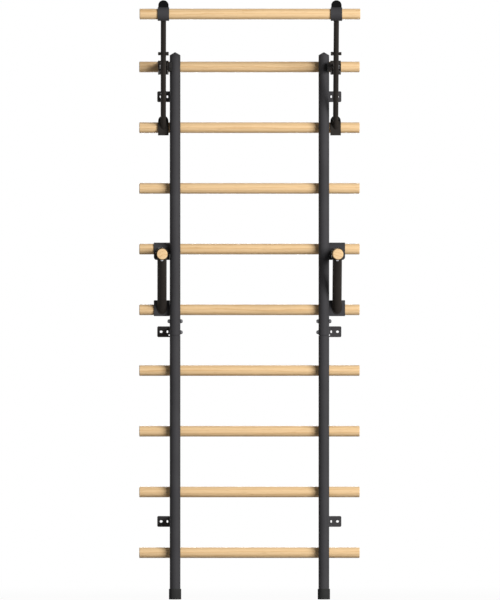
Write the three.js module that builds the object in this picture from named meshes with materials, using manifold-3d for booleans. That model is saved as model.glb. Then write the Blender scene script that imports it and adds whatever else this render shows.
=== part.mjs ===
// Swedish wall bars: two steel posts held off the wall, nine round wooden rungs, a hook-on pull-up bar
// and a pair of hook-on dip handles. Millimetres, +Z up, the wall is the plane y = 0 and the front faces -Y.
import * as THREE from "three";
import { mergeVertices } from "three/addons/utils/BufferGeometryUtils.js";
import Module from "manifold-3d";

const wasm = await Module();
wasm.setup();

// Posts
const TUBE_D = 40;
const TUBE_WALL = 2;
const POST_X = 278;
const POST_TOP_Z = 2033;
const SEAM_Z = 987;
const SEAM_GAP = 1;
const SEAM_CHAMFER = 1;
const SLEEVE_HALF_LENGTH = 100;
const SLEEVE_WALL = 3;
const CAP_RISE = 12;
const CAP_RIM = 2;
const CAP_PLUG = 22;
const FOOT_D = 46;
const FOOT_HEIGHT = 39.5;
const FOOT_FLOOR = 4;
const FOOT_CHAMFER = 1.5;

// Rungs, from the lowest up
const RUNG_D = 40;
const RUNG_LENGTH = 824;
const RUNG_COUNT = 9;
const RUNG_PITCH = 227;
const LOWEST_RUNG_Z = 174;
const RUNG_Y = -80;
const RUNG_CHAMFER = 2;

// Welded saddle and stud that carry a rung on the back of a post
const SEAT = 2;
const SADDLE_WIDTH = 16;
const SADDLE_HEIGHT = 24;
const STUD_D = 8;
const STUD_HOLE_D = 9.2;
const NUT_POCKET_D = 23;
const NUT_POCKET_DEPTH = 12;
const STUD_RECESS = 2;

// Bolts across the joint of the upper and the lower tube
const JOINT_BOLT_Z = { upper: 1039.5, lower: 998.5 };
const JOINT_BOLT_D = 8;
const JOINT_HEAD_D = 16.5;
const JOINT_HEAD_HEIGHT = 8.5;
const JOINT_HEAD_RIM = 3.8;
const JOINT_HEAD_SHOULDER = { d: 11.9, height: 7.2 };

// Wall brackets: a flat strip with one bend
const BRACKET_Z = { top: 1879, middle: 999.5, bottom: 289.5 };
const BRACKET_HEIGHT = 40.5;
const BRACKET_STEEL = 4;
const BRACKET_OUTER_X = 344.5;
const BRACKET_LEG_X = 292;
const BRACKET_BEND = 4;
const BRACKET_CORNER = 5;
const OUTER_SLOT = { x: 330, width: 10.5, height: 8.5 };
const INNER_SLOT = { x: 306.5, width: 6, height: 9.5 };
const SEAM_RELIEF = { x: 299.6, d: 5.2 };

// Pull-up bar and its two carriers
const BAR_LENGTH = 822;
const BAR_Y = -450;
const BAR_Z = 2185.5;
const CARRIER_X = 322;
const CARRIER_WIDTH = 39.5;
const COLLAR_D = 51;
const COLLAR_WIDTH = 42.5;
const COLLAR_STEEL = 3;
const LINER_PLASTIC = 1.7;
const TONGUE_WIDTH = 38.5;
const TONGUE_PLASTIC = 8;
const BAR_TONGUE_TOP_Z = 2237;
const STRUT_D = 20;
const STRUT_FOOT = { forward: 12.8, below: 10.7 };
const ARM_STEEL = 8;
const ARM_EYE_D = 24;
const ARM_TIP_STEEL = 3;
const CROSS_BOLT_Z = 2038.5;
const CROSS_BOLT_D = 8;
const CROSS_HEAD_D = 14;
const CROSS_BOLT_LENGTH = 40;

// Hook over the top rung
const HOOK_CHEEK = 6;
const HOOK_WEB = 3;
const HOOK_CLEARANCE = 0.8;
const HOOK_REAR_DROP = 20;
const HOOK_FRONT_DROP = 29;
const HOOK_NOSE = 78;
const HOOK_NOSE_D = 30;
const HOOK_LIP_TOP = -7;
const KNOB_D = 38;
const KNOB_THICKNESS = 11.8;
const KNOB_LOBES = 6;
const KNOB_LOBE_STEPS = 6;
const KNOB_LOBE_DEPTH = 2.4;
const PIN_D = 14;

// Saddle that presses on the second rung
const SADDLE_OUTER_D = 57;
const SADDLE_STEEL = 4.5;
const SADDLE_TOP_DEG = 58;
const SADDLE_DROP = 29;
const SADDLE_LIP = 3;
const SADDLE_LINER = 3;
const SADDLE_TONGUE_TOP = 45;
const SADDLE_LINER_SHORT = 2;
const TONGUE_ROOT_DEG = [59.5, 67];

// Dip handles, hung on the fourth rung from the top and resting on the fifth
const DIP_X = 327;
const DIP_PLATE_X = [298.6, 357.5];
const DIP_STEEL = 4;
const DIP_CLEARANCE = 0.5;
const DIP_HOOK_DROP = 38.5;
const DIP_HOOK_REAR_DROP = 14;
const DIP_REST_Z = [1058.5, 1118];
const DIP_HOOK_CORNER = 11;
const DIP_REST_CORNER = 2;
const HANDLE_D = 40;
const HANDLE_Z = 1292;
const HANDLE_FRONT_Y = -570;
const HANDLE_CHAMFER = 2;
const SOCKET_D = 46;
const SOCKET_FRONT_Y = -335;
const DIP_STRUT_D = 35;
const DIP_STRUT_DEG = 42;
const DIP_STRUT_FOOT_Z = 1093;
const DIP_SCREW_Y = -318;
const DIP_SCREW_D = 6;
const DIP_SCREW_HEAD_D = 10;
const DIP_SCREW_HEAD = 4;
const DIP_SCREW_DEPTH = 16;

// Gap left between pieces that touch, overlap of the parts of one piece, and reach of a cut past its piece
const GAP = 0.35;
const JOIN = 1;
const PAST = 10;

// Straight length kept on a side that would otherwise be all curve
const STRAIGHT = 0.02;

// Number of sides of round pieces, and steps along half a curve of an outline
const SIDES = 24;
const SMALL_SIDES = 10;
const STRUT_SIDES = 20;
const STUD_SIDES = 8;
const SLEEVE_SIDES = 16;
const ARC_STEPS = 5;
const CORNER_STEPS = 2;

// Sizes that follow from the ones above
const TUBE_R = TUBE_D / 2;
const RUNG_R = RUNG_D / 2;
const POST_Y = RUNG_Y - RUNG_R - SEAT - TUBE_R;
const rungZ = (fromTop) => LOWEST_RUNG_Z + (RUNG_COUNT - fromTop) * RUNG_PITCH;
const HOOK_RUNG_Z = rungZ(1);
const SADDLE_RUNG_Z = rungZ(2);
const DIP_RUNG_Z = rungZ(4);

// Finishes
const FINISHES = {
  post: { color: 0x47464a, roughness: 0.55, metalness: 0.3 },
  carrier: { color: 0x2e2c2b, roughness: 0.5, metalness: 0.3 },
  wood: { color: 0xe8c896, roughness: 0.5, metalness: 0 },
  zinc: { color: 0x5a5a5c, roughness: 0.35, metalness: 0.9 },
  plastic: { color: 0x141414, roughness: 0.6, metalness: 0 },
  rubber: { color: 0x1d1d1e, roughness: 0.85, metalness: 0 },
};

// A closed geometry as a solid that can be joined and cut
function solid(geometry) {
  const bare = new THREE.BufferGeometry();
  const source = geometry.index ? geometry.toNonIndexed() : geometry;
  bare.setAttribute("position", source.getAttribute("position"));
  const merged = mergeVertices(bare, 1e-4);
  return new wasm.Manifold(
    new wasm.Mesh({
      numProp: 3,
      vertProperties: merged.getAttribute("position").array,
      triVerts: new Uint32Array(merged.index.array),
    }),
  );
}

// A solid as a named mesh with its finish
function piece(name, made, finish) {
  const mesh = made.getMesh();
  const geometry = new THREE.BufferGeometry();
  geometry.setAttribute("position", new THREE.BufferAttribute(mesh.vertProperties, 3));
  geometry.setIndex(new THREE.BufferAttribute(mesh.triVerts, 1));
  geometry.computeVertexNormals();
  const result = new THREE.Mesh(geometry, new THREE.MeshStandardMaterial(FINISHES[finish]));
  result.name = name;
  return result;
}

// Solid of revolution about Z from [radius, height] points, closed on itself or on the axis
function turned(points, sides = SIDES) {
  const profile = points.map(([r, z]) => new THREE.Vector2(r, z));
  return solid(new THREE.LatheGeometry(profile, sides).rotateX(Math.PI / 2));
}

// Round tube along Z with a bore and an optional chamfer on the lower or upper outer edge
function tube(outer, bore, low, high, lowChamfer = 0, highChamfer = 0, sides = SIDES) {
  const profile = [
    [bore, low],
    [outer - lowChamfer, low],
    ...(lowChamfer ? [[outer, low + lowChamfer]] : []),
    ...(highChamfer ? [[outer, high - highChamfer]] : []),
    [outer - highChamfer, high],
    [bore, high],
    [bore, low],
  ];
  return turned(profile, sides);
}

// Round bar between two points
function rod(from, to, radius, sides = SIDES) {
  const start = new THREE.Vector3(...from);
  const span = new THREE.Vector3(...to).sub(start);
  const geometry = new THREE.CylinderGeometry(radius, radius, span.length(), sides);
  const turn = new THREE.Quaternion();
  turn.setFromUnitVectors(new THREE.Vector3(0, 1, 0), span.clone().normalize());
  geometry.applyQuaternion(turn);
  return solid(geometry.translate(...start.addScaledVector(span, 0.5)));
}

const rodX = (x0, x1, y, z, radius, sides) => rod([x0, y, z], [x1, y, z], radius, sides);
const rodY = (y0, y1, x, z, radius, sides) => rod([x, y0, z], [x, y1, z], radius, sides);
const rodZ = (z0, z1, x, y, radius, sides) => rod([x, y, z0], [x, y, z1], radius, sides);

// Turned wooden bar along X with chamfered ends
function woodenBar(length) {
  const half = length / 2;
  const bar = turned([
    [0, -half],
    [RUNG_R - RUNG_CHAMFER, -half],
    [RUNG_R, RUNG_CHAMFER - half],
    [RUNG_R, half - RUNG_CHAMFER],
    [RUNG_R - RUNG_CHAMFER, half],
    [0, half],
  ]);
  return bar.rotate([0, 90, 0]);
}

function box(x, y, z) {
  const size = [x, y, z].map(([low, high]) => high - low);
  const middle = [x, y, z].map(([low, high]) => (low + high) / 2);
  return solid(new THREE.BoxGeometry(...size).translate(...middle));
}

// A flat outline made thick along one axis: the outline's own axes become two of the object's axes
function prism(shape, depth, across, up, along, steps) {
  const geometry = new THREE.ExtrudeGeometry(shape, { depth, bevelEnabled: false, curveSegments: steps });
  const turn = new THREE.Matrix4().makeBasis(across, up, along);
  return solid(geometry.applyMatrix4(turn));
}

const AXIS = {
  x: new THREE.Vector3(1, 0, 0),
  y: new THREE.Vector3(0, 1, 0),
  z: new THREE.Vector3(0, 0, 1),
  front: new THREE.Vector3(0, -1, 0),
};

// Side outline in (y, z) between two x values
const sideOutline = (shape, x0, x1, steps = ARC_STEPS) =>
  prism(shape, x1 - x0, AXIS.y, AXIS.z, AXIS.x, steps).translate([x0, 0, 0]);

// Front outline in (x, z) between a rear and a front y value
const frontOutline = (shape, rear, front, steps = ARC_STEPS) =>
  prism(shape, rear - front, AXIS.x, AXIS.z, AXIS.front, steps).translate([0, rear, 0]);

// Plan outline in (x, y) between two z values
const planOutline = (shape, z0, z1, steps = ARC_STEPS) =>
  prism(shape, z1 - z0, AXIS.x, AXIS.y, AXIS.z, steps).translate([0, 0, z0]);

// Rectangle with rounded corners, from its middle
function rounded(x, y, width, height, radius) {
  const [left, low] = [x - width / 2, y - height / 2];
  const [right, high] = [x + width / 2, y + height / 2];
  const shape = new THREE.Shape();
  shape.absarc(right - radius, low + radius, radius, -Math.PI / 2, 0);
  shape.absarc(right - radius, high - radius, radius, 0, Math.PI / 2);
  shape.absarc(left + radius, high - radius, radius, Math.PI / 2, Math.PI);
  shape.absarc(left + radius, low + radius, radius, Math.PI, 1.5 * Math.PI);
  shape.closePath();
  return shape;
}

// Room for a rung, a little wider than the rung itself
const rungRoom = (z, clearance) =>
  rodX(-RUNG_LENGTH, RUNG_LENGTH, RUNG_Y, z, RUNG_R + clearance);

// Saddle and stud for one rung, welded on the back of a post
function rungSeat(z) {
  const wall = POST_Y + TUBE_R - TUBE_WALL + GAP;
  const block = box(
    [POST_X - SADDLE_WIDTH / 2, POST_X + SADDLE_WIDTH / 2],
    [wall, RUNG_Y - RUNG_R / 2],
    [z - SADDLE_HEIGHT / 2, z + SADDLE_HEIGHT / 2],
  );
  const stud = rodY(wall, RUNG_Y + RUNG_R - STUD_RECESS, POST_X, z, STUD_D / 2, STUD_SIDES);
  return block.subtract(rungRoom(z, GAP)).add(stud);
}

// One length of post tube with the seats of the rungs it carries
function postLength(low, high, lowChamfer, highChamfer, rungs) {
  const post = tube(TUBE_R, TUBE_R - TUBE_WALL, low, high, lowChamfer, highChamfer);
  const placed = post.translate([POST_X, POST_Y, 0]);
  return rungs.reduce((made, number) => made.add(rungSeat(rungZ(number))), placed);
}

// Room for a joint bolt, from the inner side of a post to an x value
const boltRoom = (z, end) => rodX(0, end, POST_Y, z, JOINT_BOLT_D / 2 + GAP, SMALL_SIDES);

function postUpper() {
  const top = POST_TOP_Z - CAP_RIM - GAP;
  const post = postLength(SEAM_Z + SEAM_GAP / 2, top, SEAM_CHAMFER, 0, [1, 2, 3, 4, 5]);
  return post
    .subtract(boltRoom(JOINT_BOLT_Z.upper, 2 * POST_X))
    .subtract(boltRoom(JOINT_BOLT_Z.lower, POST_X));
}

const postLower = () =>
  postLength(FOOT_FLOOR + GAP, SEAM_Z - SEAM_GAP / 2, 0, SEAM_CHAMFER, [6, 7, 8, 9]);

function postSleeve() {
  const outer = TUBE_R - TUBE_WALL - GAP;
  const [low, high] = [SEAM_Z - SLEEVE_HALF_LENGTH, SEAM_Z + SLEEVE_HALF_LENGTH];
  const sleeve = tube(outer, outer - SLEEVE_WALL, low, high, 0, 0, SLEEVE_SIDES);
  return sleeve
    .translate([POST_X, POST_Y, 0])
    .subtract(boltRoom(JOINT_BOLT_Z.upper, 2 * POST_X))
    .subtract(boltRoom(JOINT_BOLT_Z.lower, 2 * POST_X));
}

function postCap() {
  const plug = TUBE_R - TUBE_WALL - GAP;
  const rimLow = POST_TOP_Z - CAP_RIM;
  const cap = turned([
    [0, rimLow - CAP_PLUG],
    [plug, rimLow - CAP_PLUG],
    [plug, rimLow],
    [TUBE_R, rimLow],
    [TUBE_R, POST_TOP_Z],
    [0, POST_TOP_Z + CAP_RISE],
  ]);
  return cap.translate([POST_X, POST_Y, 0]);
}

function foot() {
  const outer = FOOT_D / 2;
  const cup = turned([
    [0, 0],
    [outer - FOOT_CHAMFER, 0],
    [outer, FOOT_CHAMFER],
    [outer, FOOT_HEIGHT - FOOT_CHAMFER],
    [outer - FOOT_CHAMFER, FOOT_HEIGHT],
    [TUBE_R + GAP, FOOT_HEIGHT],
    [TUBE_R + GAP, FOOT_FLOOR],
    [0, FOOT_FLOOR],
  ]);
  return cup.translate([POST_X, POST_Y, 0]);
}

// A rung with a stud hole and a nut pocket behind each post
function rung(z) {
  let bar = woodenBar(RUNG_LENGTH).translate([0, RUNG_Y, z]);
  for (const x of [-POST_X, POST_X]) {
    const rear = RUNG_Y + RUNG_R;
    bar = bar.subtract(rodY(POST_Y, rear, x, z, STUD_HOLE_D / 2, STUD_SIDES));
    bar = bar.subtract(rodY(rear - NUT_POCKET_DEPTH, rear + RUNG_R, x, z, NUT_POCKET_D / 2, SMALL_SIDES));
  }
  return bar;
}

// Domed bolt head or cap nut on the side of a post, its flat face at x and its dome towards way
function domedHead(x, way, y, z) {
  const r = JOINT_HEAD_D / 2;
  const head = turned(
    [
      [0, 0],
      [r, 0],
      [r, JOINT_HEAD_RIM],
      [JOINT_HEAD_SHOULDER.d / 2, JOINT_HEAD_SHOULDER.height],
      [0, JOINT_HEAD_HEIGHT],
    ],
    SMALL_SIDES,
  );
  return head.rotate([0, 90 * way, 0]).translate([x, y, z]);
}

// The upper bolt has a cap nut outside, the lower one ends in a thread in the wall of the sleeve
function jointBolt(z, capNut) {
  const inner = POST_X - TUBE_R - GAP;
  const outer = POST_X + TUBE_R + GAP;
  const end = capNut ? outer + JOIN : POST_X + TUBE_R - 2 * TUBE_WALL;
  const bolt = rodX(inner - JOIN, end, POST_Y, z, JOINT_BOLT_D / 2, SMALL_SIDES);
  const headed = bolt.add(domedHead(inner, -1, POST_Y, z));
  return capNut ? headed.add(domedHead(outer, 1, POST_Y, z)) : headed;
}

// Strip from the side of the post back to the wall, bent outwards into a flange with two slots,
// and with a relief hole where it crosses the seam of the tubes
function wallBracket(z) {
  const inner = BRACKET_LEG_X;
  const outer = inner + BRACKET_STEEL;
  const bendX = outer + BRACKET_BEND;
  const bendY = -BRACKET_STEEL - BRACKET_BEND;
  const strip = new THREE.Shape();
  strip.moveTo(BRACKET_OUTER_X, -BRACKET_STEEL);
  strip.lineTo(BRACKET_OUTER_X, 0);
  strip.absarc(bendX, bendY, BRACKET_STEEL + BRACKET_BEND, Math.PI / 2, Math.PI);
  strip.lineTo(inner, POST_Y);
  strip.lineTo(outer, POST_Y);
  strip.absarc(bendX, bendY, BRACKET_BEND, Math.PI, Math.PI / 2, true);
  strip.closePath();
  const outline = rounded(POST_X, z, 2 * (BRACKET_OUTER_X - POST_X), BRACKET_HEIGHT, BRACKET_CORNER);
  let bracket = planOutline(strip, z - BRACKET_HEIGHT / 2, z + BRACKET_HEIGHT / 2, CORNER_STEPS);
  bracket = bracket.intersect(frontOutline(outline, PAST, 2 * POST_Y, CORNER_STEPS));
  bracket = bracket.subtract(rodZ(0, POST_TOP_Z, POST_X, POST_Y, TUBE_R + GAP));
  for (const { x, width, height } of [OUTER_SLOT, INNER_SLOT]) {
    const slot = rounded(x, z, width, height, (Math.min(width, height) - STRAIGHT) / 2);
    bracket = bracket.subtract(frontOutline(slot, PAST, -PAST, CORNER_STEPS));
  }
  if (Math.abs(z - SEAM_Z) > BRACKET_HEIGHT / 2) return bracket;
  return bracket.subtract(rodY(2 * bendY, PAST, SEAM_RELIEF.x, SEAM_Z, SEAM_RELIEF.d / 2, SMALL_SIDES));
}

const pullupBar = () => woodenBar(BAR_LENGTH).translate([0, BAR_Y, BAR_Z]);

const carrierX = [CARRIER_X - CARRIER_WIDTH / 2, CARRIER_X + CARRIER_WIDTH / 2];

const collarX = [CARRIER_X - COLLAR_WIDTH / 2, CARRIER_X + COLLAR_WIDTH / 2];

// Ring round the pull-up bar, as wide as its collar
function barRing(outer, bore) {
  return rodX(...collarX, BAR_Y, BAR_Z, outer).subtract(rodX(0, 2 * CARRIER_X, BAR_Y, BAR_Z, bore));
}

// Ring that holds the pull-up bar, split on top for the tongue of its liner
function barCollar() {
  const r = COLLAR_D / 2;
  const half = TONGUE_PLASTIC / 2 + GAP;
  const split = box([0, 2 * CARRIER_X], [BAR_Y - half, BAR_Y + half], [BAR_Z, BAR_Z + 2 * r]);
  return barRing(r, r - COLLAR_STEEL).subtract(split);
}

// Outline of a tongue with a round top, in (x, z)
function tongueOutline(low, top) {
  const r = TONGUE_WIDTH / 2;
  const shape = new THREE.Shape();
  shape.moveTo(CARRIER_X - r, low);
  shape.lineTo(CARRIER_X + r, low);
  shape.absarc(CARRIER_X, top - r, r, 0, Math.PI);
  shape.closePath();
  return shape;
}

// Plastic sleeve between the collar and the bar with a tongue above it
function barLiner() {
  const bore = RUNG_R + GAP;
  const sleeve = barRing(bore + LINER_PLASTIC, bore);
  const tongue = frontOutline(
    tongueOutline(BAR_Z, BAR_TONGUE_TOP_Z),
    BAR_Y + TONGUE_PLASTIC / 2,
    BAR_Y - TONGUE_PLASTIC / 2,
  );
  return sleeve.add(tongue.subtract(rodX(0, 2 * CARRIER_X, BAR_Y, BAR_Z, bore)));
}

// The strut runs from the front of the saddle to the middle of the bar
const strutLow = [CARRIER_X, RUNG_Y - STRUT_FOOT.forward, SADDLE_RUNG_Z - STRUT_FOOT.below];
const strutHigh = [CARRIER_X, BAR_Y, BAR_Z];
const strutShare = (CROSS_BOLT_Z - strutLow[2]) / (strutHigh[2] - strutLow[2]);
const CROSS_BOLT_Y = strutLow[1] + strutShare * (strutHigh[1] - strutLow[1]);
const PIN_Y = RUNG_Y - HOOK_NOSE;

// Flat strap from the pin to the cross bolt, grown on all sides to cut its slot
function armStrap(grow) {
  const run = Math.hypot(CROSS_BOLT_Y - PIN_Y, CROSS_BOLT_Z - HOOK_RUNG_Z);
  const slope = Math.atan2(CROSS_BOLT_Z - HOOK_RUNG_Z, CROSS_BOLT_Y - PIN_Y);
  const tip = CROSS_BOLT_D / 2 + GAP + ARM_TIP_STEEL + grow;
  const half = ARM_STEEL / 2 + grow;
  const strap = rounded((run + tip) / 2, 0, run + tip, 2 * tip, tip - STRAIGHT / 2);
  return sideOutline(strap, -half, half, CORNER_STEPS)
    .rotate([(slope * 180) / Math.PI, 0, 0])
    .translate([CARRIER_X, PIN_Y, HOOK_RUNG_Z]);
}

function strut() {
  return rod(strutLow, strutHigh, STRUT_D / 2, STRUT_SIDES)
    .subtract(rodX(0, 2 * CARRIER_X, BAR_Y, BAR_Z, COLLAR_D / 2 + GAP))
    .subtract(sideOutline(saddleOutline(GAP, GAP), 0, 2 * CARRIER_X))
    .subtract(armStrap(GAP))
    .subtract(rodX(0, 2 * CARRIER_X, CROSS_BOLT_Y, CROSS_BOLT_Z, CROSS_BOLT_D / 2 + GAP, SMALL_SIDES));
}

// Room for the pin of the knob to turn in
const pinRoom = () => rodX(0, 2 * CARRIER_X, PIN_Y, HOOK_RUNG_Z, PIN_D / 2 + GAP, STRUT_SIDES);

// Flat arm from the hook's pin to the cross bolt in the strut, with a wide eye round the pin
function arm() {
  const eyeX = [CARRIER_X - STRUT_D / 2, CARRIER_X + STRUT_D / 2];
  const eye = rodX(...eyeX, PIN_Y, HOOK_RUNG_Z, ARM_EYE_D / 2, STRUT_SIDES);
  return eye
    .add(armStrap(0))
    .subtract(pinRoom())
    .subtract(rodX(0, 2 * CARRIER_X, CROSS_BOLT_Y, CROSS_BOLT_Z, CROSS_BOLT_D / 2 + GAP, SMALL_SIDES));
}

// Bolt with a head and a nut, across the strut and the arm
function crossBolt() {
  const half = CROSS_BOLT_LENGTH / 2;
  const headHeight = half - STRUT_D / 2 - GAP;
  const at = [CROSS_BOLT_Y, CROSS_BOLT_Z];
  const [low, high] = [CARRIER_X - half, CARRIER_X + half];
  const shank = rodX(low + JOIN, high - JOIN, ...at, CROSS_BOLT_D / 2, SMALL_SIDES);
  const head = rodX(low, low + headHeight, ...at, CROSS_HEAD_D / 2, SMALL_SIDES);
  const nut = rodX(high - headHeight, high, ...at, CROSS_HEAD_D / 2, SMALL_SIDES);
  return shank.add(head).add(nut);
}

// Two cheeks joined over the top of the rung and in front of it, open below, with a nose for the pin
function upperHook() {
  const inner = RUNG_R + HOOK_CLEARANCE;
  const outer = inner + HOOK_WEB;
  const shell = new THREE.Shape();
  shell.moveTo(RUNG_Y + outer, HOOK_RUNG_Z - HOOK_REAR_DROP);
  shell.absarc(RUNG_Y, HOOK_RUNG_Z, outer, 0, Math.PI);
  shell.lineTo(RUNG_Y - outer, HOOK_RUNG_Z - HOOK_FRONT_DROP);
  shell.lineTo(RUNG_Y - inner, HOOK_RUNG_Z - HOOK_FRONT_DROP);
  shell.absarc(RUNG_Y, HOOK_RUNG_Z, inner, Math.PI, 0, true);
  shell.lineTo(RUNG_Y + inner, HOOK_RUNG_Z - HOOK_REAR_DROP);
  shell.closePath();
  const nose = HOOK_NOSE_D / 2;
  const flange = new THREE.Shape();
  flange.moveTo(RUNG_Y, HOOK_RUNG_Z + nose);
  flange.absarc(PIN_Y, HOOK_RUNG_Z, nose, Math.PI / 2, 1.5 * Math.PI);
  flange.lineTo(RUNG_Y - outer, HOOK_RUNG_Z - HOOK_FRONT_DROP);
  flange.lineTo(RUNG_Y, HOOK_RUNG_Z - HOOK_FRONT_DROP);
  flange.closePath();
  const room = rungRoom(HOOK_RUNG_Z, HOOK_CLEARANCE).add(
    box(
      [0, 2 * CARRIER_X],
      [RUNG_Y - inner, RUNG_Y + inner],
      [HOOK_RUNG_Z - RUNG_D, HOOK_RUNG_Z],
    ),
  );
  const [left, right] = carrierX;
  let cheeks = sideOutline(flange, left, left + HOOK_CHEEK);
  cheeks = cheeks.add(sideOutline(flange, right - HOOK_CHEEK, right)).subtract(room);
  const window = box(
    [left + HOOK_CHEEK, right - HOOK_CHEEK],
    [RUNG_Y - 2 * outer, RUNG_Y - inner / 2],
    [HOOK_RUNG_Z + HOOK_LIP_TOP, HOOK_RUNG_Z - HOOK_LIP_TOP],
  );
  return sideOutline(shell, left, right)
    .subtract(window)
    .add(cheeks)
    .subtract(pinRoom());
}

// Lobed hand knob on the pin that passes through both cheeks and the eye of the arm
function knob() {
  const [inside, outside] = carrierX;
  const steps = KNOB_LOBES * KNOB_LOBE_STEPS;
  const shape = new THREE.Shape();
  for (let i = 0; i < steps; i += 1) {
    const angle = (2 * Math.PI * i) / steps;
    const r = KNOB_D / 2 - (KNOB_LOBE_DEPTH / 2) * (1 - Math.cos(KNOB_LOBES * angle));
    const point = [PIN_Y + r * Math.cos(angle), HOOK_RUNG_Z + r * Math.sin(angle)];
    if (i) shape.lineTo(...point);
    else shape.moveTo(...point);
  }
  shape.closePath();
  const face = inside - GAP;
  const grip = sideOutline(shape, face - KNOB_THICKNESS, face);
  const pin = rodX(face - JOIN, outside, PIN_Y, HOOK_RUNG_Z, PIN_D / 2, STRUT_SIDES);
  return grip.add(pin);
}

// Outline in (y, z) of the saddle: round above the middle of the rung and tapered to a lip below it
function saddleOutline(inner, grow) {
  const outer = SADDLE_OUTER_D / 2 + grow;
  const top = Math.PI - (SADDLE_TOP_DEG * Math.PI) / 180;
  const low = SADDLE_RUNG_Z - SADDLE_DROP - grow;
  const lip = RUNG_Y - SADDLE_OUTER_D / 2 + SADDLE_STEEL - SADDLE_LIP - grow;
  const shape = new THREE.Shape();
  shape.absarc(RUNG_Y, SADDLE_RUNG_Z, outer, top, Math.PI);
  shape.quadraticCurveTo(RUNG_Y - outer, low + SADDLE_DROP / 3, lip, low);
  shape.lineTo(RUNG_Y - inner, low);
  shape.absarc(RUNG_Y, SADDLE_RUNG_Z, inner, Math.PI, top, true);
  shape.closePath();
  return shape;
}

// Steel half ring that presses on the front of the second rung
const lowerSaddle = () =>
  sideOutline(saddleOutline(SADDLE_OUTER_D / 2 - SADDLE_STEEL, 0), ...carrierX);

// Plastic lining of the saddle with a tongue that stands up behind the strut
function saddleLiner() {
  const outer = SADDLE_OUTER_D / 2 - SADDLE_STEEL - GAP;
  const inner = outer - SADDLE_LINER;
  const low = SADDLE_RUNG_Z - SADDLE_DROP + SADDLE_LINER_SHORT;
  const top = SADDLE_RUNG_Z + SADDLE_TONGUE_TOP;
  const [front, rear] = TONGUE_ROOT_DEG.map((degrees) => (degrees * Math.PI) / 180);
  const shape = new THREE.Shape();
  shape.absarc(RUNG_Y, SADDLE_RUNG_Z, outer, Math.PI - front, Math.PI);
  shape.lineTo(RUNG_Y - outer, low);
  shape.lineTo(RUNG_Y - inner, low);
  shape.absarc(RUNG_Y, SADDLE_RUNG_Z, inner, Math.PI, Math.PI - rear, true);
  shape.lineTo(RUNG_Y - inner * Math.cos(rear), top);
  shape.lineTo(RUNG_Y - outer * Math.cos(front), top);
  shape.closePath();
  return sideOutline(shape, ...carrierX).intersect(frontOutline(tongueOutline(low, top), 0, 2 * POST_Y));
}

const DIP_FACE_Y = RUNG_Y - RUNG_R - DIP_CLEARANCE - DIP_STEEL;

// Plate bent over the top of a rung, with a rounded lower corner in front
function dipHookPlate() {
  const inner = RUNG_R + DIP_CLEARANCE;
  const outer = inner + DIP_STEEL;
  const shape = new THREE.Shape();
  shape.moveTo(RUNG_Y + outer, DIP_RUNG_Z - DIP_HOOK_REAR_DROP);
  shape.absarc(RUNG_Y, DIP_RUNG_Z, outer, 0, Math.PI);
  shape.lineTo(RUNG_Y - outer, DIP_RUNG_Z - DIP_HOOK_DROP);
  shape.lineTo(RUNG_Y - inner, DIP_RUNG_Z - DIP_HOOK_DROP);
  shape.absarc(RUNG_Y, DIP_RUNG_Z, inner, Math.PI, 0, true);
  shape.lineTo(RUNG_Y + inner, DIP_RUNG_Z - DIP_HOOK_REAR_DROP);
  shape.closePath();
  const [left, right] = DIP_PLATE_X;
  const low = DIP_RUNG_Z - DIP_HOOK_DROP;
  const corner = new THREE.Shape();
  corner.moveTo(right - DIP_HOOK_CORNER, low - PAST);
  corner.lineTo(right + PAST, low - PAST);
  corner.lineTo(right + PAST, low + DIP_HOOK_CORNER);
  corner.lineTo(right, low + DIP_HOOK_CORNER);
  corner.absarc(right - DIP_HOOK_CORNER, low + DIP_HOOK_CORNER, DIP_HOOK_CORNER, 0, -Math.PI / 2, true);
  corner.closePath();
  return sideOutline(shape, left, right).subtract(frontOutline(corner, RUNG_Y, 2 * POST_Y));
}

// Flat plate that rests on the rung below
function dipRestPlate() {
  const height = DIP_REST_Z[1] - DIP_REST_Z[0];
  const [left, right] = DIP_PLATE_X;
  const middle = [(left + right) / 2, DIP_REST_Z[0] + height / 2];
  const outline = rounded(...middle, right - left, height, DIP_REST_CORNER);
  return frontOutline(outline, DIP_FACE_Y + DIP_STEEL, DIP_FACE_Y, CORNER_STEPS);
}

// Room for the screw, from below the socket up into the handle
const dipScrewRoom = () => {
  const top = HANDLE_Z - SOCKET_D / 2 + DIP_SCREW_DEPTH;
  return rodZ(HANDLE_Z - SOCKET_D, top, DIP_X, DIP_SCREW_Y, DIP_SCREW_D / 2 + GAP, SMALL_SIDES);
};

// Steel sleeve welded on the hook plate, in which the handle is held
function dipSocket() {
  const rear = DIP_FACE_Y - GAP;
  const sleeve = rodY(SOCKET_FRONT_Y, rear, DIP_X, HANDLE_Z, SOCKET_D / 2);
  return sleeve
    .subtract(rodY(2 * SOCKET_FRONT_Y, 0, DIP_X, HANDLE_Z, HANDLE_D / 2 + GAP))
    .subtract(dipScrewRoom());
}

// Round wooden grip with a chamfered front end
function dipHandle() {
  const length = DIP_FACE_Y - 2 * GAP - HANDLE_FRONT_Y;
  const r = HANDLE_D / 2;
  const grip = turned([
    [0, 0],
    [r - HANDLE_CHAMFER, 0],
    [r, HANDLE_CHAMFER],
    [r, length],
    [0, length],
  ]);
  return grip
    .rotate([-90, 0, 0])
    .translate([DIP_X, HANDLE_FRONT_Y, HANDLE_Z])
    .subtract(dipScrewRoom());
}

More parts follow.
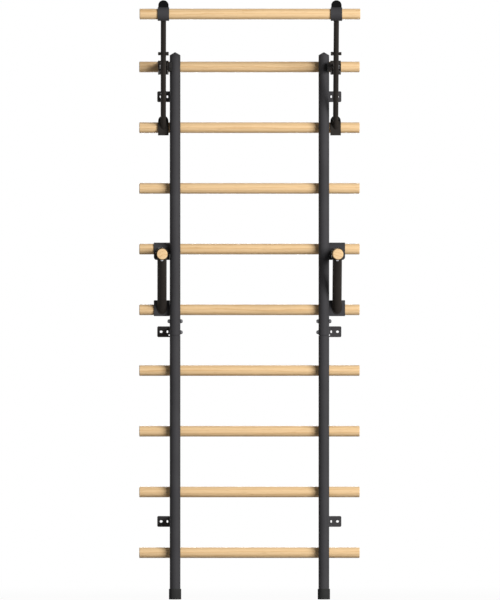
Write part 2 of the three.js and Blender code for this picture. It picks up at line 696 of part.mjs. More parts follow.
// Round strut from the rest plate up to the underside of the socket
function dipStrut() {
  const lean = (DIP_STRUT_DEG * Math.PI) / 180;
  const along = [0, -Math.sin(lean), Math.cos(lean)];
  const rise = (HANDLE_Z - DIP_STRUT_FOOT_Z) / along[2];
  const at = (distance) => [
    DIP_X,
    DIP_FACE_Y + along[1] * distance,
    DIP_STRUT_FOOT_Z + along[2] * distance,
  ];
  return rod(at(-DIP_STRUT_D), at(rise), DIP_STRUT_D / 2)
    .subtract(box([0, 2 * DIP_X], [DIP_FACE_Y - GAP, 0], [0, POST_TOP_Z]))
    .subtract(rodY(2 * SOCKET_FRONT_Y, 0, DIP_X, HANDLE_Z, SOCKET_D / 2 + GAP));
}

// Screw through the underside of the socket into the handle
function dipScrew() {
  const under = HANDLE_Z - SOCKET_D / 2 - GAP;
  const at = [DIP_X, DIP_SCREW_Y];
  const head = rodZ(under - DIP_SCREW_HEAD, under, ...at, DIP_SCREW_HEAD_D / 2, SMALL_SIDES);
  const shank = rodZ(under - JOIN, under + DIP_SCREW_DEPTH, ...at, DIP_SCREW_D / 2, SMALL_SIDES);
  return head.add(shank);
}

// Everything that each side has: the right side is modelled and the left side mirrors it
function oneSide(side) {
  const group = new THREE.Group();
  group.scale.x = side === "left" ? -1 : 1;
  const add = (name, made, finish) => group.add(piece(`${side}_${name}`, made, finish));
  add("post_upper", postUpper(), "post");
  add("post_lower", postLower(), "post");
  add("post_sleeve", postSleeve(), "zinc");
  add("post_cap", postCap(), "post");
  add("foot", foot(), "rubber");
  add("joint_bolt_upper", jointBolt(JOINT_BOLT_Z.upper, true), "zinc");
  add("joint_bolt_lower", jointBolt(JOINT_BOLT_Z.lower, false), "zinc");
  for (const [place, z] of Object.entries(BRACKET_Z)) {
    add(`wall_bracket_${place}`, wallBracket(z), "post");
  }
  add("bar_collar", barCollar(), "carrier");
  add("bar_liner", barLiner(), "plastic");
  add("strut", strut(), "carrier");
  add("arm", arm(), "carrier");
  add("cross_bolt", crossBolt(), "carrier");
  add("upper_hook", upperHook(), "carrier");
  add("knob", knob(), "plastic");
  add("lower_saddle", lowerSaddle(), "carrier");
  add("saddle_liner", saddleLiner(), "plastic");
  add("dip_hook_plate", dipHookPlate(), "carrier");
  add("dip_rest_plate", dipRestPlate(), "carrier");
  add("dip_socket", dipSocket(), "carrier");
  add("dip_strut", dipStrut(), "carrier");
  add("dip_handle", dipHandle(), "wood");
  add("dip_screw", dipScrew(), "zinc");
  return group;
}

const wallBars = new THREE.Group();
for (const side of ["left", "right"]) wallBars.add(oneSide(side));
for (let number = 1; number <= RUNG_COUNT; number += 1) {
  wallBars.add(piece(`rung_${number}`, rung(rungZ(number)), "wood"));
}
wallBars.add(piece("pullup_bar", pullupBar(), "wood"));

export default wallBars;
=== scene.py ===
"""Swedish wall bars: steel posts, wooden rungs, a hook-on pull-up bar and hook-on dip handles."""
from functools import partial
from math import asin, atan2, cos, pi, radians, sin, tan, tau

import bmesh
import bpy
from bpy.props import FloatProperty, FloatVectorProperty, PointerProperty
from bpy.types import Operator, Panel, PropertyGroup
from mathutils import Matrix, Vector


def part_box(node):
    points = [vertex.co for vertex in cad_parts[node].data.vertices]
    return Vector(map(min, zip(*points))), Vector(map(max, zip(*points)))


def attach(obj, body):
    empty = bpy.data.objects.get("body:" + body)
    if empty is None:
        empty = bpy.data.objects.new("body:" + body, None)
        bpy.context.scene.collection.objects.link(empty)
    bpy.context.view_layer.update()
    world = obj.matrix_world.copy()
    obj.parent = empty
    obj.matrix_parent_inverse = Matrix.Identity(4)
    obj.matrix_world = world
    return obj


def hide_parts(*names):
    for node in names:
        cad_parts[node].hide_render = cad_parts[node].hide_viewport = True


bl_info = {
    "name": "Swedish wall bars",
    "version": (1, 0, 0),
    "blender": (4, 5, 0),
    "location": "3D View > Sidebar > Wall bars",
    "description": "Builds wall bars with a pull-up bar and dip handles around a fixed frame",
    "category": "Object",
}

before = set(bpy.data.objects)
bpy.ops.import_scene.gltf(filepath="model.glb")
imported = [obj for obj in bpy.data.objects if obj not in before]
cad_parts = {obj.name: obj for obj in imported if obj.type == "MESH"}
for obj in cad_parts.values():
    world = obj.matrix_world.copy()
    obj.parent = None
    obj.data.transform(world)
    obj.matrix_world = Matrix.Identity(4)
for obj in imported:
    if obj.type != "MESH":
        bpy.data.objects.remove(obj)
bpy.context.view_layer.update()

MM = 0.001
SIDES = {"left": -1, "right": 1}
UPPER_RUNGS = range(1, 6)
LOWER_RUNGS = range(6, 10)
RUNGS = (*UPPER_RUNGS, *LOWER_RUNGS)
BRACKETS = ("top", "middle", "bottom")
ROUND = 64
SMALL_ROUND = 32
STRUT_ROUND = 48
HEXAGON = 6
SHARP = radians(38)
MERGE = 0.002 * MM
HAIR = 0.01 * MM
PAST = 0.1
CUT_REACH = 1


def node_middle(node):
    low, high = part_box(node)
    return (low + high) / 2


def node_size(node):
    low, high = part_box(node)
    return high - low


# Places that the frame gives, for the right side
RUNG_R = node_size("rung_1").z / 2
RUNG_Y = node_middle("rung_1").y
RUNG_Z = {number: node_middle(f"rung_{number}").z for number in RUNGS}
POST_R = node_size("right_post_cap").x / 2
POST_X = node_middle("right_post_cap").x
POST_Y = node_middle("right_post_cap").y
SEAM_Z = node_middle("right_post_sleeve").z
CARRIER_LOW, CARRIER_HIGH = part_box("right_lower_saddle")
CARRIER_X = (CARRIER_LOW.x + CARRIER_HIGH.x) / 2
CARRIER_WIDTH = CARRIER_HIGH.x - CARRIER_LOW.x
BAR = node_middle("pullup_bar")
CROSS_BOLT = node_middle("right_cross_bolt")
PIN_Y = node_middle("right_knob").y
HOOK_Z = RUNG_Z[1]
SADDLE_Z = RUNG_Z[2]
DIP_Z = RUNG_Z[4]
DIP = node_middle("right_dip_handle")
DIP_FACE_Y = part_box("right_dip_rest_plate")[0].y

# Sizes that the frame doesn't give
PIECE_GAP = 0.3 * MM
RUNG_EDGE = 0.3 * MM
TUBE_WALL = 2 * MM
CAP_RISE = 14 * MM
CAP_RIM = 2 * MM
CAP_EDGE = 1.5 * MM
CAP_SLOPE = radians(58)
CAP_TIP = ((4 * MM, 1.9 * MM), (2 * MM, 0.6 * MM), (0, 0.2 * MM))
FOOT_RIM = 1.4 * MM
FOOT_EDGE = 2 * MM
FOOT_FLOOR = 4 * MM
JOINT_BOLT_R = 4 * MM
JOINT_HEAD_R = 7 * MM
JOINT_WASHER_R = 8.2 * MM
JOINT_WASHER = 1.6 * MM
JOINT_HEAD_STRAIGHT = 0.4
STUD_R = 4 * MM
NUT_POCKET_R = 11.5 * MM
NUT_POCKET_DEPTH = 12 * MM
WASHER_R = 8.5 * MM
WASHER_HEIGHT = 1.6 * MM
NUT_R = 7.5 * MM
NUT_HEIGHT = 6.5 * MM
SEAT_WIDTH = 16 * MM
SEAT_HEIGHT = 24 * MM
BRACKET_STEEL = 4 * MM
BRACKET_BEND = 4 * MM
BRACKET_CORNER = 5 * MM
BRACKET_CUT = 20 * MM
BRACKET_SLOTS = ((330 * MM, 10.5 * MM, 8.5 * MM), (306.5 * MM, 6 * MM, 9.5 * MM))
SEAM_RELIEF_X = 299.6 * MM
SEAM_RELIEF_R = 2.6 * MM
COLLAR_STEEL = 3 * MM
LINER_PLASTIC = 1.7 * MM
TONGUE_WIDTH = 38.5 * MM
TONGUE_PLASTIC = 8 * MM
STRUT_R = 10 * MM
STRUT_FOOT = Vector((0, -12.8, -10.7)) * MM
ARM_STEEL = 8 * MM
ARM_EYE_R = 12 * MM
ARM_TIP_R = 7.3 * MM
CROSS_BOLT_R = 4 * MM
HOOK_CHEEK = 6 * MM
HOOK_WEB = 3 * MM
HOOK_CLEARANCE = 0.8 * MM
HOOK_REAR_DROP = 20 * MM
HOOK_FRONT_DROP = 29 * MM
HOOK_NOSE_R = 15 * MM
HOOK_WINDOW = 7 * MM
KNOB_LOBES = 6
KNOB_LOBE_STEPS = 16
KNOB_LOBE_DEPTH = 2.4 * MM
KNOB_R = 19 * MM
KNOB_THICKNESS = 11.8 * MM
PIN_R = 7 * MM
BUSH_R = 11 * MM
SADDLE_R = 28.5 * MM
SADDLE_STEEL = 4.5 * MM
SADDLE_TOP = radians(58)
SADDLE_DROP = 29 * MM
SADDLE_TAPER_STEPS = 12
SADDLE_LIP = 3 * MM
SADDLE_LINER = 3 * MM
SADDLE_LINER_SHORT = 2 * MM
TONGUE_ROOT = (radians(59.5), radians(67))
DIP_STEEL = 4 * MM
DIP_PLATE_REACH = 0.5 * MM
DIP_HOOK_LOWER = 2 * MM
DIP_HOOK_CORNER = 11 * MM
DIP_REST_CORNER = 2 * MM
DIP_REAR_DROP = 14 * MM
DIP_STRUT_R = 17.5 * MM
DIP_STRUT_LEAN = radians(42)
DIP_SCREW_R = 3 * MM
DIP_SCREW_HEAD = ((0, 0), (0.6, 0.2 * MM), (0.92, 1.4 * MM))
WELD_R = 2.2 * MM
WELD_RIPPLE = 0.12
WELD_SIDES = 10
WELD_SUNK = 0.2 * MM

# Places of the stage
FLOOR_HALF = 3.2
FLOOR_NEAR = 0.4
FLOOR_ROUGHNESS = 0.9
LAMP_AIM = Vector((0, -0.1, 1.1))
LAMPS = {
    "key": (Vector((6.1, -8.7, 3.8)), 5.6),
    "fill": (Vector((-4.0, -3.6, 1.6)), 3.0),
    "back": (Vector((-0.6, 4.6, 1.7)), 2.8),
}
VIEW_X = 2.1 * MM
VIEW_Y = -0.1
VIEW_BELOW = 2.6 * MM
SENSOR = 36

# Sockets of a Mix node set to colours, which share their names with others
MIX_FACTOR, MIX_FIRST, MIX_SECOND, MIX_RESULT = 0, 6, 7, 2


def srgb(red, green, blue):
    """Linear colour of an 8-bit display colour."""
    shares = [value / 255 for value in (red, green, blue)]
    return [s / 12.92 if s <= 0.04045 else ((s + 0.055) / 1.055) ** 2.4 for s in shares]


def colour(name, description, *display):
    return FloatVectorProperty(
        name=name, description=description, default=srgb(*display),
        subtype="COLOR", size=3, min=0, max=1,
    )


def number(name, description, default, **kind):
    return FloatProperty(name=name, description=description, default=default, **kind)


class WallBarsFinish(PropertyGroup):
    """Colours of the finishes."""

    post: colour("Posts", "Powder coat of posts, brackets, collars and plates", 64, 63, 65)
    # This coat also darkens the joint sleeves, seen through the seams of the posts as painted
    # shade.
    carrier: colour("Carriers", "Powder coat of hooks, arms, struts and sockets", 47, 43, 40)
    wood: colour("Wood", "Light wood between the pores", 240, 205, 157)
    wood_dark: colour("Wood grain", "Darker growth rings of the wood", 222, 181, 129)
    wood_pore: colour("Wood pores", "Short dark pores of the wood", 196, 152, 104)
    zinc: colour("Zinc", "Plated pins, nuts and screws", 176, 177, 180)
    zinc_dark: colour("Dark zinc", "Plated joint bolts", 98, 98, 101)
    # This black also colours the pin bushes, where it is painted shade in the inner gaps of the
    # hooks.
    plastic: colour("Plastic", "Liners and bushes", 16, 16, 16)
    knob: colour("Knobs", "Hand knobs", 48, 47, 47)
    rubber: colour("Rubber", "Feet", 52, 52, 51)


class WallBarsSizes(PropertyGroup):
    """Roundings of the edges."""

    wood_nose: number("Wood nose", "Rounding of the ends of wooden bars", 3 * MM, unit="LENGTH")
    steel_edge: number("Steel edge", "Rounding of cut steel edges", 0.6 * MM, unit="LENGTH")
    moulded_edge: number("Moulded edge", "Rounding of moulded edges", 1.2 * MM, unit="LENGTH")
    bolt_edge: number("Bolt edge", "Rounding of bolt heads and nuts", 0.5 * MM, unit="LENGTH")


class WallBarsStage(PropertyGroup):
    """Light, floor and camera."""

    lens: number("Lens", "Focal length", 1400, unit="CAMERA")
    view_height: number("View height", "Height of the view at the object", 2.2428, unit="LENGTH")
    azimuth: number("Azimuth", "Turn of the camera to the left", radians(0.3), subtype="ANGLE")
    elevation: number("Elevation", "Camera above the horizon", radians(0.35), subtype="ANGLE")
    key: number("Key light", "Power of the light from the right front", 1420, unit="POWER")
    fill: number("Fill light", "Power of the light from the left front", 4, unit="POWER")
    back: number("Back light", "Power of the light from behind", 160, unit="POWER")
    ambient: number("Ambient", "Strength of the light from all sides", 0.12)
    floor: colour("Floor", "Pale floor", 120, 120, 120)
    floor_white: number("Floor white", "Share of plain white near the object", 0.95)


def arc(across, up, radius, start, end, steps=24):
    """Points of an arc, both ends included."""
    angles = [start + (end - start) * i / steps for i in range(steps + 1)]
    return [(across + radius * cos(a), up + radius * sin(a)) for a in angles]


def rounded(across, up, width, height, radius, steps=8):
    """Outline of a rectangle with round corners, from its middle."""
    reach, rise = width / 2 - radius, height / 2 - radius
    outline = []
    corners = (
        (reach, -rise, -pi / 2), (reach, rise, 0), (-reach, rise, pi / 2), (-reach, -rise, pi),
    )
    for x, z, start in corners:
        outline += arc(across + x, up + z, radius, start, start + pi / 2, steps)
    return outline


def seen_from_side(x):
    """Place of an outline in (y, z) that is made thick towards +X."""
    return Matrix(((0, 0, 1, x), (1, 0, 0, 0), (0, 1, 0, 0), (0, 0, 0, 1)))


def seen_from_front(y):
    """Place of an outline in (x, z) that is made thick towards the front."""
    return Matrix(((1, 0, 0, 0), (0, 0, -1, y), (0, 1, 0, 0), (0, 0, 0, 1)))


ALONG_X = Matrix.Rotation(pi / 2, 4, "Y")
ALONG_Y = Matrix.Rotation(-pi / 2, 4, "X")


def tidy(bm):
    bmesh.ops.remove_doubles(bm, verts=bm.verts, dist=MERGE)
    bmesh.ops.recalc_face_normals(bm, faces=bm.faces)
    return bm


def slab(outline, depth, place):
    """An outline made thick."""
    bm = bmesh.new()
    face = bm.faces.new([bm.verts.new((u, v, 0)) for u, v in outline])
    raised = bmesh.ops.extrude_face_region(bm, geom=[face])
    top = [item for item in raised["geom"] if isinstance(item, bmesh.types.BMVert)]
    bmesh.ops.translate(bm, vec=(0, 0, depth), verts=top)
    bmesh.ops.transform(bm, matrix=place, verts=bm.verts)
    return tidy(bm)


def lathe(points, place, steps=ROUND):
    """A profile of (radius, height) points turned about its axis."""
    bm = bmesh.new()
    ring = [bm.verts.new((radius, 0, height)) for radius, height in points]
    edges = [bm.edges.new(pair) for pair in zip(ring, ring[1:])]
    bmesh.ops.spin(
        bm, geom=ring + edges, cent=(0, 0, 0), axis=(0, 0, 1),
        angle=tau, steps=steps, use_merge=True,
    )
    bmesh.ops.transform(bm, matrix=place, verts=bm.verts)
    return tidy(bm)


def rod(start, end, radius, steps=ROUND):
    """Round bar between two points."""
    start, end = Vector(start), Vector(end)
    span = end - start
    turn = Vector((0, 0, 1)).rotation_difference(span).to_matrix().to_4x4()
    bm = bmesh.new()
    bmesh.ops.create_cone(
        bm, cap_ends=True, segments=steps, radius1=radius, radius2=radius, depth=span.length,
        matrix=Matrix.Translation((start + end) / 2) @ turn,
    )
    return tidy(bm)


def rod_x(x0, x1, y, z, radius, steps=ROUND):
    return rod((x0, y, z), (x1, y, z), radius, steps)


def bore_x(y, z, radius, steps=SMALL_ROUND):
    """Long rod along X that cuts a hole through the right side."""
    return rod_x(0, CUT_REACH, y, z, radius, steps)


def rod_y(y0, y1, x, z, radius, steps=ROUND):
    return rod((x, y0, z), (x, y1, z), radius, steps)


def block(low, high):
    """Box between two corners."""
    low, high = Vector(low), Vector(high)
    bm = bmesh.new()
    size = Matrix.Diagonal((*(high - low), 1))
    bmesh.ops.create_cube(bm, size=1, matrix=Matrix.Translation((low + high) / 2) @ size)
    return tidy(bm)


def joined(*parts):
    """Several closed shells as one mesh."""
    whole = bmesh.new()
    for bm in parts:
        mesh = bpy.data.meshes.new("part")
        bm.to_mesh(mesh)
        bm.free()
        whole.from_mesh(mesh)
        bpy.data.meshes.remove(mesh)
    return whole


def lines_of_rod(middle, along, radius):
    """Points round a rod, from which its surface lines run."""
    up = along.cross(Vector((1, 0, 0)))
    angles = [tau * i / ROUND for i in range(ROUND)]
    return [middle + radius * (cos(a) * Vector((1, 0, 0)) + sin(a) * up) for a in angles]


def weld(path, along):
    """Rippled bead along the closed path where a rod meets its neighbour."""
    bm = bmesh.new()
    rings = []
    for i, point in enumerate(path):
        ahead = (path[(i + 1) % len(path)] - path[i - 1]).normalized()
        side = along.cross(ahead).normalized()
        up = ahead.cross(side)
        r = WELD_R * (1 + WELD_RIPPLE * (i % 2))
        angles = [tau * j / WELD_SIDES for j in range(WELD_SIDES)]
        rings.append([bm.verts.new(point + r * (cos(a) * side + sin(a) * up)) for a in angles])
    for i, ring in enumerate(rings):
        last = rings[i - 1]
        for j in range(WELD_SIDES):
            bm.faces.new((last[j - 1], last[j], ring[j], ring[j - 1]))
    return tidy(bm)


def loose_object(bm):
    mesh = bpy.data.meshes.new("part")
    bm.to_mesh(mesh)
    bm.free()
    item = bpy.data.objects.new("part", mesh)
    bpy.context.scene.collection.objects.link(item)
    return item


def combine(bm, other, operation):
    """Joins, cuts or trims one solid with another."""
    first, second = loose_object(bm), loose_object(other)
    modifier = first.modifiers.new("combine", "BOOLEAN")
    modifier.object = second
    modifier.operation = operation
    modifier.solver = "EXACT"
    made = first.evaluated_get(bpy.context.evaluated_depsgraph_get())
    result = bmesh.new()
    result.from_mesh(made.data)
    for item in (first, second):
        mesh = item.data
        bpy.data.objects.remove(item)
        bpy.data.meshes.remove(mesh)
    return tidy(result)


def cut(bm, *cutters):
    for cutter in cutters:
        bm = combine(bm, cutter, "DIFFERENCE")
    return bm


def fused(bm, *others):
    for other in others:
        bm = combine(bm, other, "UNION")
    return bm


def trimmed(bm, outline):
    return combine(bm, outline, "INTERSECT")


def add_node(tree, kind, inputs=None, **settings):
    """A shader node with its settings, constant inputs and links."""
    node = tree.nodes.new(kind)
    for key, value in settings.items():
        setattr(node, key, value)
    for key, value in (inputs or {}).items():
        if isinstance(value, bpy.types.NodeSocket):
            tree.links.new(value, node.inputs[key])
        else:
            node.inputs[key].default_value = value
    return node


def new_material(name):
    material = bpy.data.materials.new(name)
    material.use_nodes = True
    tree = material.node_tree
    shader = next(node for node in tree.nodes if node.type == "BSDF_PRINCIPLED")
    place = add_node(tree, "ShaderNodeTexCoord").outputs["Object"]
    return material, tree, shader, place


def ramp(tree, factor, *stops):
    """Colours along a factor, from (position, colour) stops."""
    node = add_node(tree, "ShaderNodeValToRGB", {"Fac": factor})
    elements = node.color_ramp.elements
    while len(elements) < len(stops):
        elements.new(1)
    for element, (position, tint) in zip(elements, stops):
        element.position = position
        element.color = (*tint, 1)
    return node.outputs["Color"]


def scaled(tint, share):
    return [value * share for value in tint]


def noise(tree, place, scale, detail=2, roughness=0.5, distortion=0):
    inputs = {
        "Vector": place, "Scale": scale, "Detail": detail,
        "Roughness": roughness, "Distortion": distortion,
    }
    return add_node(tree, "ShaderNodeTexNoise", inputs).outputs["Fac"]


def bump(tree, shader, height, strength, distance):
    inputs = {"Height": height, "Strength": strength, "Distance": distance}
    node = add_node(tree, "ShaderNodeBump", inputs)
    tree.links.new(node.outputs["Normal"], shader.inputs["Normal"])


def mapped(tree, place, **inputs):
    return add_node(tree, "ShaderNodeMapping", {"Vector": place, **inputs}).outputs["Vector"]


def roughen(tree, shader, factor, least, most):
    node = add_node(tree, "ShaderNodeMapRange", {"Value": factor, "To Min": least, "To Max": most})
    tree.links.new(node.outputs["Result"], shader.inputs["Roughness"])


def multiply(tree, factor, first, second):
    """Two colours multiplied."""
    node = add_node(tree, "ShaderNodeMix", data_type="RGBA", blend_type="MULTIPLY")
    node.inputs[MIX_FACTOR].default_value = factor
    tree.links.new(first, node.inputs[MIX_FIRST])
    tree.links.new(second, node.inputs[MIX_SECOND])
    return node.outputs[MIX_RESULT]


def wood_material(name, finish, turn, gloss):
    """Beech: growth rings, long fibres and short pores along the grain."""
    material, tree, shader, place = new_material(name)
    grain = mapped(tree, place, Rotation=turn)
    long = mapped(tree, grain, Scale=(0.06, 1, 1))
    pores = mapped(tree, grain, Scale=(0.045, 1, 1))
    rings = add_node(
        tree, "ShaderNodeTexWave",
        {"Vector": long, "Scale": 26, "Distortion": 7, "Detail": 3, "Detail Scale": 1.4},
        wave_type="RINGS", rings_direction="X", wave_profile="SAW",
    ).outputs["Fac"]
    fibres = noise(tree, long, scale=260, detail=6, roughness=0.62, distortion=0.4)
    dark, light, pore = list(finish.wood_dark), list(finish.wood), list(finish.wood_pore)
    base = ramp(tree, rings, (0.0, light), (0.7, scaled(light, 0.97)), (1.0, dark))
    streaks = ramp(tree, fibres, (0.3, [0.9] * 3), (0.55, [1] * 3), (0.75, [1.05] * 3))
    tinted = multiply(tree, 0.75, base, streaks)
    flecks = noise(tree, pores, scale=620)
    share = [p / l for p, l in zip(pore, light)]
    marks = ramp(tree, flecks, (0.62, [1] * 3), (0.72, share))
    tree.links.new(multiply(tree, 0.55, tinted, marks), shader.inputs["Base Color"])
    shader.inputs["Roughness"].default_value = 0.42
    shader.inputs["Specular IOR Level"].default_value = gloss
    bump(tree, shader, fibres, strength=0.12, distance=0.15 * MM)
    return material


def coated_material(name, tint):
    """Powder coat: a fine orange peel with a little change of tone."""
    material, tree, shader, place = new_material(name)
    peel = noise(tree, place, scale=900, detail=3, roughness=0.55)
    tone = noise(tree, place, scale=9, detail=3)
    tint = list(tint)
    shades = ramp(tree, tone, (0.3, scaled(tint, 0.9)), (0.7, scaled(tint, 1.1)))
    tree.links.new(shades, shader.inputs["Base Color"])
    roughen(tree, shader, tone, 0.58, 0.68)
    shader.inputs["Specular IOR Level"].default_value = 0.08
    bump(tree, shader, peel, strength=0.22, distance=0.12 * MM)
    return material


def zinc_material(name, tint):
    """Plated steel with fine turning marks and a cloudy tone."""
    material, tree, shader, place = new_material(name)
    cloud = noise(tree, place, scale=140, detail=4, roughness=0.6)
    tint = list(tint)
    shades = ramp(tree, cloud, (0.3, scaled(tint, 0.8)), (0.7, tint))
    tree.links.new(shades, shader.inputs["Base Color"])
    roughen(tree, shader, cloud, 0.3, 0.45)
    shader.inputs["Metallic"].default_value = 0.9
    bump(tree, shader, noise(tree, place, scale=1800), strength=0.1, distance=0.05 * MM)
    return material


def moulded_material(name, tint, roughness, grain):
    """Moulded plastic or rubber with a fine grained surface."""
    material, tree, shader, place = new_material(name)
    cloud = noise(tree, place, scale=25, detail=3)
    tint = list(tint)
    shades = ramp(tree, cloud, (0.3, scaled(tint, 0.85)), (0.7, scaled(tint, 1.2)))
    tree.links.new(shades, shader.inputs["Base Color"])
    shader.inputs["Roughness"].default_value = roughness
    shader.inputs["Specular IOR Level"].default_value = 0.03
    grains = noise(tree, place, scale=grain, detail=3, roughness=0.6)
    bump(tree, shader, grains, strength=0.3, distance=0.15 * MM)
    return material


def make_look(look):
    finish = bpy.context.scene.wall_bars_finish
    makers = {
        "wood": lambda: wood_material("lacquered_wood", finish, (0, 0, 0), 0.1),
        "wood_handle": lambda: wood_material("oiled_wood_handle", finish, (0, 0, pi / 2), 0),
        "post": lambda: coated_material("post_coat", finish.post),
        "carrier": lambda: coated_material("carrier_coat", finish.carrier),
        "carrier_light": lambda: coated_material("plate_coat", finish.post),
        "zinc": lambda: zinc_material("dark_zinc_plate", finish.zinc_dark),
        "zinc_bright": lambda: zinc_material("zinc_plate", finish.zinc),
        "plastic": lambda: moulded_material("moulded_plastic", finish.plastic, 0.5, 700),
        "plastic_knob": lambda: moulded_material("knob_plastic", finish.knob, 0.5, 700),
        "rubber": lambda: moulded_material("moulded_rubber", finish.rubber, 0.75, 500),
    }
    return makers[look]()


LOOKS = {}


def look_material(look):
    if look not in LOOKS:
        LOOKS[look] = make_look(look)
    return LOOKS[look]


def add_piece(name, bm, look, body, nodes=(), edge=0.0, steps=2):
    """A finished piece on its body, in place of the nodes that it stands for."""
    tidy(bm)
    for face in bm.faces:
        face.smooth = True
    mesh = bpy.data.meshes.new(name)
    bm.to_mesh(mesh)
    bm.free()
    mesh.materials.append(look_material(look))
    piece = bpy.data.objects.new(name, mesh)
    bpy.context.scene.collection.objects.link(piece)
    if edge:
        bevel = piece.modifiers.new("edge", "BEVEL")
        bevel.width = edge
        bevel.segments = steps
        bevel.limit_method = "ANGLE"
        bevel.angle_limit = SHARP
        bevel.harden_normals = True
        bevel.use_clamp_overlap = True
    else:
        mesh.set_sharp_from_angle(angle=SHARP)
    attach(piece, body)
    if nodes:
        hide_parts(*nodes)
    return piece


def add_both(name, make, look, body, edge=0.0, steps=2, node=True):
    """A piece made for the right side and mirrored for the left."""
    for side, way in SIDES.items():
        bm = make()
        bmesh.ops.scale(bm, vec=(way, 1, 1), verts=bm.verts)
        nodes = (f"{side}_{name}",) if node else ()
        add_piece(f"{side}_{name}_fine", bm, look, body.format(side=side), nodes, edge, steps)


def nosed_profile(radius, low, high, low_nose, high_nose):
    """Profile of a solid round bar with rounded ends."""
    points = [(0, low)]
    if low_nose:
        points += arc(radius - low_nose, low + low_nose, low_nose, -pi / 2, 0, steps=8)
    else:
        points.append((radius, low))
    if high_nose:
        points += arc(radius - high_nose, high - high_nose, high_nose, 0, pi / 2, steps=8)
    else:
        points.append((radius, high))
    return points + [(0, high)]


def pipe_profile(outer, inner, low, high):
    return [(inner, low), (outer, low), (outer, high), (inner, high), (inner, low)]


def wooden_bar(node, nose):
    """Round bar along X in the place of a node."""
    half = node_size(node).x / 2
    radius = node_size(node).z / 2
    place = Matrix.Translation(node_middle(node)) @ ALONG_X
    return lathe(nosed_profile(radius, -half, half, nose, nose), place)


class WALLBARS_OT_rungs(Operator):
    """Wooden rungs with a nut pocket behind each post, and the nuts in the pockets"""

    bl_idname = "wallbars.rungs"
    bl_label = "Rungs"

    def execute(self, context):
        sizes = context.scene.wall_bars_sizes
        rear = RUNG_Y + RUNG_R
        floor = rear - NUT_POCKET_DEPTH
        hardware = []
        for number in RUNGS:
            bar = wooden_bar(f"rung_{number}", sizes.wood_nose)
            z = RUNG_Z[number]
            for way in SIDES.values():
                x = way * POST_X
                bar = cut(bar, rod_y(floor, rear + RUNG_R, x, z, NUT_POCKET_R, SMALL_ROUND))
                hardware.append(rod_y(floor, floor + WASHER_HEIGHT, x, z, WASHER_R, SMALL_ROUND))
                nut = floor + WASHER_HEIGHT
                hardware.append(rod_y(nut, nut + NUT_HEIGHT, x, z, NUT_R, HEXAGON))
            add_piece(f"rung_{number}_fine", bar, "wood", "frame", (f"rung_{number}",), RUNG_EDGE)
        add_piece("rung_nuts", joined(*hardware), "zinc_bright", "frame", (), sizes.bolt_edge)
        return {"FINISHED"}


def rung_seat(z):
    """Saddle and stud on the back of a post."""
    wall = POST_Y + POST_R - TUBE_WALL + PIECE_GAP
    low = (POST_X - SEAT_WIDTH / 2, wall, z - SEAT_HEIGHT / 2)
    high = (POST_X + SEAT_WIDTH / 2, RUNG_Y - RUNG_R / 2, z + SEAT_HEIGHT / 2)
    room = rod_x(0, 2 * POST_X, RUNG_Y, z, RUNG_R + PIECE_GAP)
    seat = cut(block(low, high), room)
    stud_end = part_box("right_post_upper")[1].y
    return joined(seat, rod_y(RUNG_Y - RUNG_R, stud_end, POST_X, z, STUD_R, SMALL_ROUND))


def post_tube(node, numbers):
    """Length of post tube with the seats of its rungs."""
    low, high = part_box(node)
    profile = pipe_profile(POST_R, POST_R - TUBE_WALL, low.z, high.z)
    tube = lathe(profile, Matrix.Translation((POST_X, POST_Y, 0)))
    return joined(tube, *(rung_seat(RUNG_Z[number]) for number in numbers))


def post_cap():
    """Pointed cap with a short rim and a plug in the tube."""
    low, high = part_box("right_post_cap")
    rim = high.z - CAP_RISE
    plug = POST_R - TUBE_WALL - PIECE_GAP
    points = [(0, low.z), (plug, low.z), (plug, rim), (POST_R, rim)]
    points += arc(POST_R - CAP_EDGE, rim + CAP_RIM, CAP_EDGE, 0, CAP_SLOPE, steps=6)
    points += [(radius, high.z - drop) for radius, drop in CAP_TIP]
    return lathe(points, Matrix.Translation((POST_X, POST_Y, 0)))


def foot_cup():
    """Rubber cup with a thick floor and rounded rims."""
    low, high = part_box("right_foot")
    outer = (high.x - low.x) / 2
    inner = POST_R + PIECE_GAP
    points = [(0, low.z)]
    points += arc(outer - FOOT_EDGE, low.z + FOOT_EDGE, FOOT_EDGE, -pi / 2, 0, steps=6)
    points += arc(outer - FOOT_RIM, high.z - FOOT_RIM, FOOT_RIM, 0, pi / 2, steps=6)
    points += [(inner, high.z), (inner, low.z + FOOT_FLOOR), (0, low.z + FOOT_FLOOR)]
    return lathe(points, Matrix.Translation((POST_X, POST_Y, 0)))


class WALLBARS_OT_posts(Operator):
    """Post tubes with their rung seats, caps, feet and the sleeves in their joints"""

    bl_idname = "wallbars.posts"
    bl_label = "Posts"

    def execute(self, context):
        edge = context.scene.wall_bars_sizes.steel_edge
        for name, rungs in (("post_upper", UPPER_RUNGS), ("post_lower", LOWER_RUNGS)):
            make = partial(post_tube, f"right_{name}", rungs)
            add_both(name, make, "post", "frame", edge)
        add_both("post_cap", post_cap, "post", "frame")
        add_both("foot", foot_cup, "rubber", "frame")
        # Sleeves take the dark carrier coat, partly as their own coat, partly as painted shade:
        # through the seam between the tubes their dark stands for the shade of the narrow gap.
        for side in SIDES:
            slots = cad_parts[f"{side}_post_sleeve"].data.materials
            slots.clear()
            slots.append(look_material("carrier"))
        return {"FINISHED"}


def bolt_head(x, way, z, height):
    """Domed head on a washer, its flat face at x and its dome towards way."""
    r = JOINT_HEAD_R
    top = JOINT_WASHER + (height - JOINT_WASHER) * JOINT_HEAD_STRAIGHT
    points = [(0, 0), (JOINT_WASHER_R, 0), (JOINT_WASHER_R, JOINT_WASHER), (r, JOINT_WASHER)]
    dome = arc(0, 0, r, 0, pi / 2, steps=8)
    points += [(across, top + up * (height - top) / r) for across, up in dome]
    turn = Matrix.Rotation(way * pi / 2, 4, "Y")
    return lathe(points, Matrix.Translation((x, POST_Y, z)) @ turn, SMALL_ROUND)


